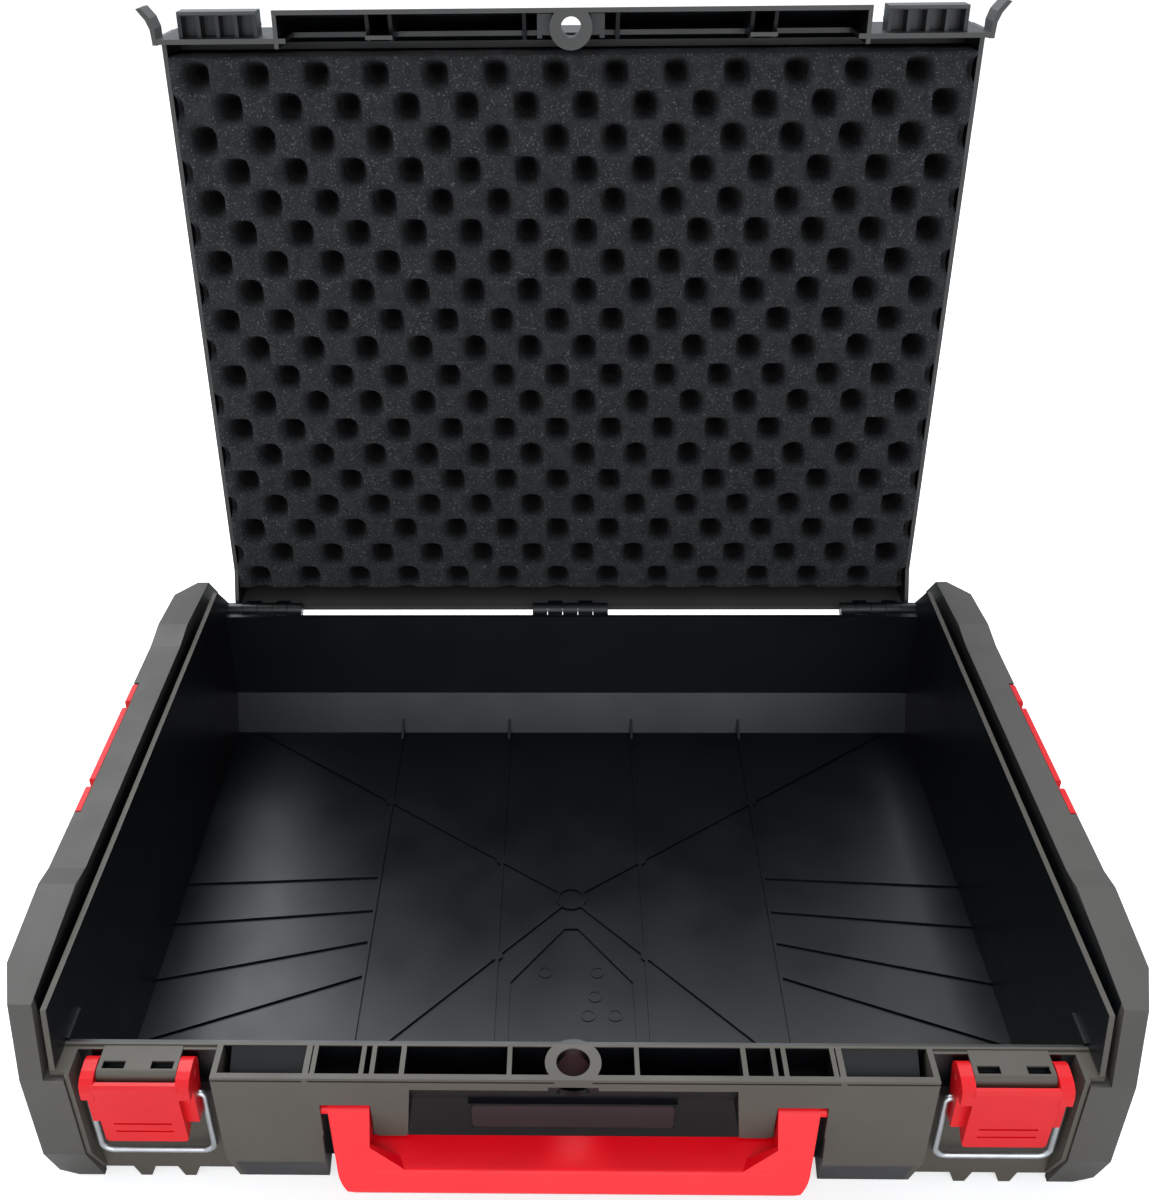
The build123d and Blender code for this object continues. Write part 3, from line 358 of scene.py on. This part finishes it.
# Matte paint on a studio floor: pale, without gloss. Only the camera, and rays that pass through
# a clear piece, see it lifted to the photograph's white; it lights the case as plain paint.
def painted_floor(name, colour):
    material, tree, output, _ = new_material(name)
    seen = add_node(tree, "ShaderNodeLightPath")
    direct = add_node(tree, "ShaderNodeMath", {"operation": "MAXIMUM"}, {
        0: seen.outputs["Is Camera Ray"], 1: seen.outputs["Is Transmission Ray"]})
    paint = add_node(tree, "ShaderNodeBsdfPrincipled", inputs={
        "Base Color": tuple(colour) + (1.0,), "Roughness": 0.9, "Specular IOR Level": 0.0})
    glow = add_node(tree, "ShaderNodeEmission", inputs={"Color": (1, 1, 1, 1), "Strength": FLOOR_GLOW})
    lifted = add_node(tree, "ShaderNodeAddShader", inputs={0: paint.outputs[0], 1: glow.outputs[0]})
    mixed = add_node(tree, "ShaderNodeMixShader", inputs={
        0: direct.outputs[0], 1: paint.outputs[0], 2: lifted.outputs[0]})
    finish_material(tree, output, mixed)
    return material


def dress(node, material):
    """Gives a CAD node one finish."""
    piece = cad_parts[node]
    piece.data.materials.clear()
    piece.data.materials.append(material)
    return piece


def soften_edges(piece, radius, angle=28):
    """Rounds a moulding's edges that turn by more than the angle, so that they catch the light."""
    edges = piece.modifiers.new("Edge radius", "BEVEL")
    edges.width = radius
    edges.segments = 2
    edges.limit_method = "ANGLE"
    edges.angle_limit = radians(angle)
    edges.use_clamp_overlap = True
    edges.harden_normals = True


def open_lid(point):
    """Where a point of the closed lid lies when the lid stands open."""
    turn = Matrix.Rotation(LID_OPEN, 3, "X")
    return turn @ (Vector(point) - LID_HINGE) + LID_HINGE


def pit_share(sizes, x, y):
    """How far the foam's surface sinks into a pit at a place of the closed lid, from 0 to 1."""
    wave = (cos(pi * (x - FIRST_PIT_X) / (sizes.foam_pitch_across / 2))
            * cos(pi * (y - FIRST_PIT_Y) / sizes.foam_pitch_along))
    share = min(1.0, max(0.0, (wave - PIT_STARTS) / PIT_SPAN))
    cut = min(1.0, min(FOAM_HALF - abs(x), y - FOAM_FRONT, FOAM_REAR - y) / CUT_BAND)
    return share * share * (3 - 2 * share) * (CUT_SHARE + (1 - CUT_SHARE) * max(0.0, cut))


def edge_pull(index, count, sink):
    """How far a point near a cut edge of the foam moves inwards, along one direction."""
    nearness = max(0.0, 1 - min(index, count - index) / EDGE_POINTS)
    return EDGE_PULL * sink * nearness * (1 if index < count / 2 else -1)


class TOOLCASE_OT_tub(bpy.types.Operator):
    """Grained grey outside and polished black inside for the tub, with black as painted shade in its latch
    pockets and in part in its handle recess, with its label
    """
    bl_idname = "toolcase.tub"
    bl_label = "Tub"

    def execute(self, context):
        sizes, colours = context.scene.toolcase_sizes, context.scene.toolcase_colours
        dress("base_tub", grained_polypropylene(
            "polypropylene_tub", colours.body, colours.inside, sizes.grain, TUB_POLISHED_AND_SHADED))
        dress("label_window", tinted_polycarbonate("polycarbonate_window", colours.window))
        dress("label_card", uncoated_card("card_label", colours.card))
        return {"FINISHED"}


class TOOLCASE_OT_rails(bpy.types.Operator):
    """Grained side rails with their red clips"""
    bl_idname = "toolcase.rails"
    bl_label = "Side rails"

    def execute(self, context):
        sizes, colours = context.scene.toolcase_sizes, context.scene.toolcase_colours
        rail = grained_polypropylene(
            "polypropylene_rail", colours.rail, colours.inside, sizes.grain, RAILS_POLISHED)
        clip = moulded_abs("abs_clip", colours.latch, 0.38, 0.0)
        pin = zinc_plated_steel("zinc_clip_pin", colours.wire, 0.3)
        for side in SIDES:
            soften_edges(dress(f"side_rail_{side}", rail), sizes.edge_radius)
            soften_edges(dress(f"side_clip_{side}", clip), sizes.edge_radius)
            dress(f"side_clip_pin_{side}", pin)
        return {"FINISHED"}


class TOOLCASE_OT_lid(bpy.types.Operator):
    """Grained lid and its hinge pins"""
    bl_idname = "toolcase.lid"
    bl_label = "Lid"

    def execute(self, context):
        sizes, colours = context.scene.toolcase_sizes, context.scene.toolcase_colours
        dress("lid_shell", grained_polypropylene(
            "polypropylene_lid", colours.lid, colours.inside, sizes.grain, LID_POLISHED, -LID_OPEN))
        pin = zinc_plated_steel("zinc_hinge_pin", colours.wire, 0.3)
        for place in ("left", "centre", "right"):
            dress(f"hinge_pin_{place}", pin)
        return {"FINISHED"}


class TOOLCASE_OT_foam(bpy.types.Operator):
    """Egg-crate foam pad in the lid"""
    bl_idname = "toolcase.foam"
    bl_label = "Foam pad"

    def execute(self, context):
        sizes, colours = context.scene.toolcase_sizes, context.scene.toolcase_colours
        columns = round(2 * FOAM_HALF / sizes.foam_step)
        rows = round((FOAM_REAR - FOAM_FRONT) / sizes.foam_step)

        mesh = bpy.data.meshes.new("lid_foam_pad")
        pad = bpy.data.objects.new("lid_foam_pad", mesh)
        context.scene.collection.objects.link(pad)
        build = bmesh.new()
        depth_layer = build.verts.layers.float.new("pit_depth")

        def place(i, j):
            return -FOAM_HALF + 2 * FOAM_HALF * i / columns, FOAM_FRONT + (FOAM_REAR - FOAM_FRONT) * j / rows

        def surface_point(i, j):
            x, y = place(i, j)
            sink = pit_share(sizes, x, y)
            uneven = noise.noise(Vector((x, y, 0.0)) / UNEVEN_PATCH)
            depth = sizes.foam_depth * sink * (1 + UNEVEN_PITS * uneven) + UNEVEN_CREST * abs(uneven)
            point = (x + edge_pull(i, columns, sink), y + edge_pull(j, rows, sink), FOAM_CREST + depth)
            vert = build.verts.new(open_lid(point))
            vert[depth_layer] = sink
            return vert

        top = [[surface_point(i, j) for i in range(columns + 1)] for j in range(rows + 1)]
        for j in range(rows):
            for i in range(columns):
                build.faces.new((top[j][i], top[j + 1][i], top[j + 1][i + 1], top[j][i + 1]))
        rim = [(i, 0) for i in range(columns)] + [(columns, j) for j in range(rows)]
        rim += [(i, rows) for i in range(columns, 0, -1)] + [(0, j) for j in range(rows, 0, -1)]
        ring = [top[j][i] for i, j in rim]
        base = [build.verts.new(open_lid((*place(i, j), FOAM_BACK))) for i, j in rim]
        for k in range(len(rim)):
            after = (k + 1) % len(rim)
            build.faces.new((ring[k], ring[after], base[after], base[k]))
        build.faces.new(base)
        bmesh.ops.recalc_face_normals(build, faces=build.faces)
        for face in build.faces:
            face.smooth = len(face.verts) == 4
        build.to_mesh(mesh)
        build.free()

        # The pits take painted shade from 0.04 to 0.5 of their depth
        mesh.materials.append(open_cell_foam(
            "polyurethane_foam", colours.foam, colours.foam_pit_shade, colours.foam_glint, 0.04, 0.5))
        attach(pad, "lid")
        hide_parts("lid_foam")
        return {"FINISHED"}


class TOOLCASE_OT_latches(bpy.types.Operator):
    """Satin red levers with zinc-plated wire bails"""
    bl_idname = "toolcase.latches"
    bl_label = "Latches"

    def execute(self, context):
        sizes, colours = context.scene.toolcase_sizes, context.scene.toolcase_colours
        lever = moulded_abs("abs_latch", colours.latch, 0.36, 0.0)
        wire = zinc_plated_steel("zinc_bail_wire", colours.wire, 0.3)
        for side in SIDES:
            soften_edges(dress(f"latch_lever_{side}", lever), sizes.edge_radius)
            dress(f"latch_bail_{side}", wire)
            dress(f"latch_pin_{side}", wire)
        return {"FINISHED"}


class TOOLCASE_OT_handle(bpy.types.Operator):
    """Polished red carry handle"""
    bl_idname = "toolcase.handle"
    bl_label = "Handle"

    def execute(self, context):
        sizes, colours = context.scene.toolcase_sizes, context.scene.toolcase_colours
        polished = moulded_abs("abs_handle", colours.handle, 0.28, 0.1)
        soften_edges(dress("carry_handle", polished), 2 * sizes.edge_radius)
        return {"FINISHED"}


def lay_floor(scene, colour):
    mesh = bpy.data.meshes.new("studio_floor")
    floor = bpy.data.objects.new("studio_floor", mesh)
    scene.collection.objects.link(floor)
    build = bmesh.new()
    bmesh.ops.create_grid(build, x_segments=1, y_segments=1, size=FLOOR_HALF)
    build.to_mesh(mesh)
    build.free()
    mesh.materials.append(painted_floor("painted_floor", colour))


def light_room(scene):
    """A soft room around the case, which the camera sees as white."""
    world = bpy.data.worlds.new("studio_world")
    scene.world = world
    world.use_nodes = True
    sky = world.node_tree
    sky.nodes.clear()
    ray = add_node(sky, "ShaderNodeLightPath")
    room = add_node(sky, "ShaderNodeBackground", inputs={"Color": ROOM_TINT, "Strength": ROOM_LIGHT})
    white_room = add_node(sky, "ShaderNodeBackground", inputs={"Color": (1, 1, 1, 1), "Strength": 1.0})
    choose = add_node(sky, "ShaderNodeMixShader", inputs={
        0: ray.outputs["Is Camera Ray"], 1: room.outputs[0], 2: white_room.outputs[0]})
    finish_material(sky, add_node(sky, "ShaderNodeOutputWorld"), choose)


def hang_lamps(scene):
    for name, place, target, size, power, tint in LAMPS:
        lamp = bpy.data.lights.new(name, "AREA")
        lamp.shape = "SQUARE"
        lamp.size = size
        lamp.energy = power
        lamp.color = tint
        holder = bpy.data.objects.new(name, lamp)
        holder.location = place
        holder.rotation_euler = (Vector(target) - Vector(place)).to_track_quat("-Z", "Y").to_euler()
        scene.collection.objects.link(holder)


def hold_camera(scene):
    forward = Vector((
        sin(CAMERA_YAW) * cos(CAMERA_PITCH), cos(CAMERA_YAW) * cos(CAMERA_PITCH), -sin(CAMERA_PITCH)))
    level = forward.cross(Vector((0, 0, 1))).normalized()
    upright = level.cross(forward)
    right = level * cos(CAMERA_ROLL) + upright * sin(CAMERA_ROLL)
    up = upright * cos(CAMERA_ROLL) - level * sin(CAMERA_ROLL)
    lens = bpy.data.cameras.new("photo_camera")
    lens.sensor_width = CAMERA_SENSOR
    lens.lens = CAMERA_LENS
    lens.shift_x = CAMERA_SHIFT_X
    lens.shift_y = CAMERA_SHIFT_Y
    camera = bpy.data.objects.new("photo_camera", lens)
    camera.matrix_world = Matrix((
        (right.x, up.x, -forward.x, CAMERA_PLACE[0]),
        (right.y, up.y, -forward.y, CAMERA_PLACE[1]),
        (right.z, up.z, -forward.z, CAMERA_PLACE[2]),
        (0, 0, 0, 1)))
    scene.collection.objects.link(camera)
    scene.camera = camera


class TOOLCASE_OT_stage(bpy.types.Operator):
    """Pale floor, soft lamps and the camera"""
    bl_idname = "toolcase.stage"
    bl_label = "Stage"

    def execute(self, context):
        scene = context.scene
        scene.view_settings.view_transform = "Standard"
        lay_floor(scene, scene.toolcase_colours.floor)
        light_room(scene)
        hang_lamps(scene)
        hold_camera(scene)
        return {"FINISHED"}


class TOOLCASE_PT_panel(bpy.types.Panel):
    bl_idname = "TOOLCASE_PT_panel"
    bl_label = "Tool case"
    bl_space_type = "VIEW_3D"
    bl_region_type = "UI"
    bl_category = "Tool case"

    def draw(self, context):
        layout = self.layout
        for group in (context.scene.toolcase_sizes, context.scene.toolcase_colours):
            for name in group.__annotations__:
                layout.prop(group, name)
        for operator in OPERATORS:
            layout.operator(operator.bl_idname)


OPERATORS = (
    TOOLCASE_OT_stage,
    TOOLCASE_OT_tub,
    TOOLCASE_OT_rails,
    TOOLCASE_OT_lid,
    TOOLCASE_OT_foam,
    TOOLCASE_OT_latches,
    TOOLCASE_OT_handle,
)
CLASSES = (ToolCaseSizes, ToolCaseColours) + OPERATORS + (TOOLCASE_PT_panel,)


def register():
    for cls in CLASSES:
        bpy.utils.register_class(cls)
    bpy.types.Scene.toolcase_sizes = PointerProperty(type=ToolCaseSizes)
    bpy.types.Scene.toolcase_colours = PointerProperty(type=ToolCaseColours)


def unregister():
    del bpy.types.Scene.toolcase_colours
    del bpy.types.Scene.toolcase_sizes
    for cls in reversed(CLASSES):
        bpy.utils.unregister_class(cls)


def main():
    register()
    bpy.ops.toolcase.stage()
    bpy.ops.toolcase.tub()
    bpy.ops.toolcase.rails()
    bpy.ops.toolcase.lid()
    bpy.ops.toolcase.foam()
    bpy.ops.toolcase.latches()
    bpy.ops.toolcase.handle()
    bpy.context.view_layer.update()


if __name__ == "__main__":
    main()
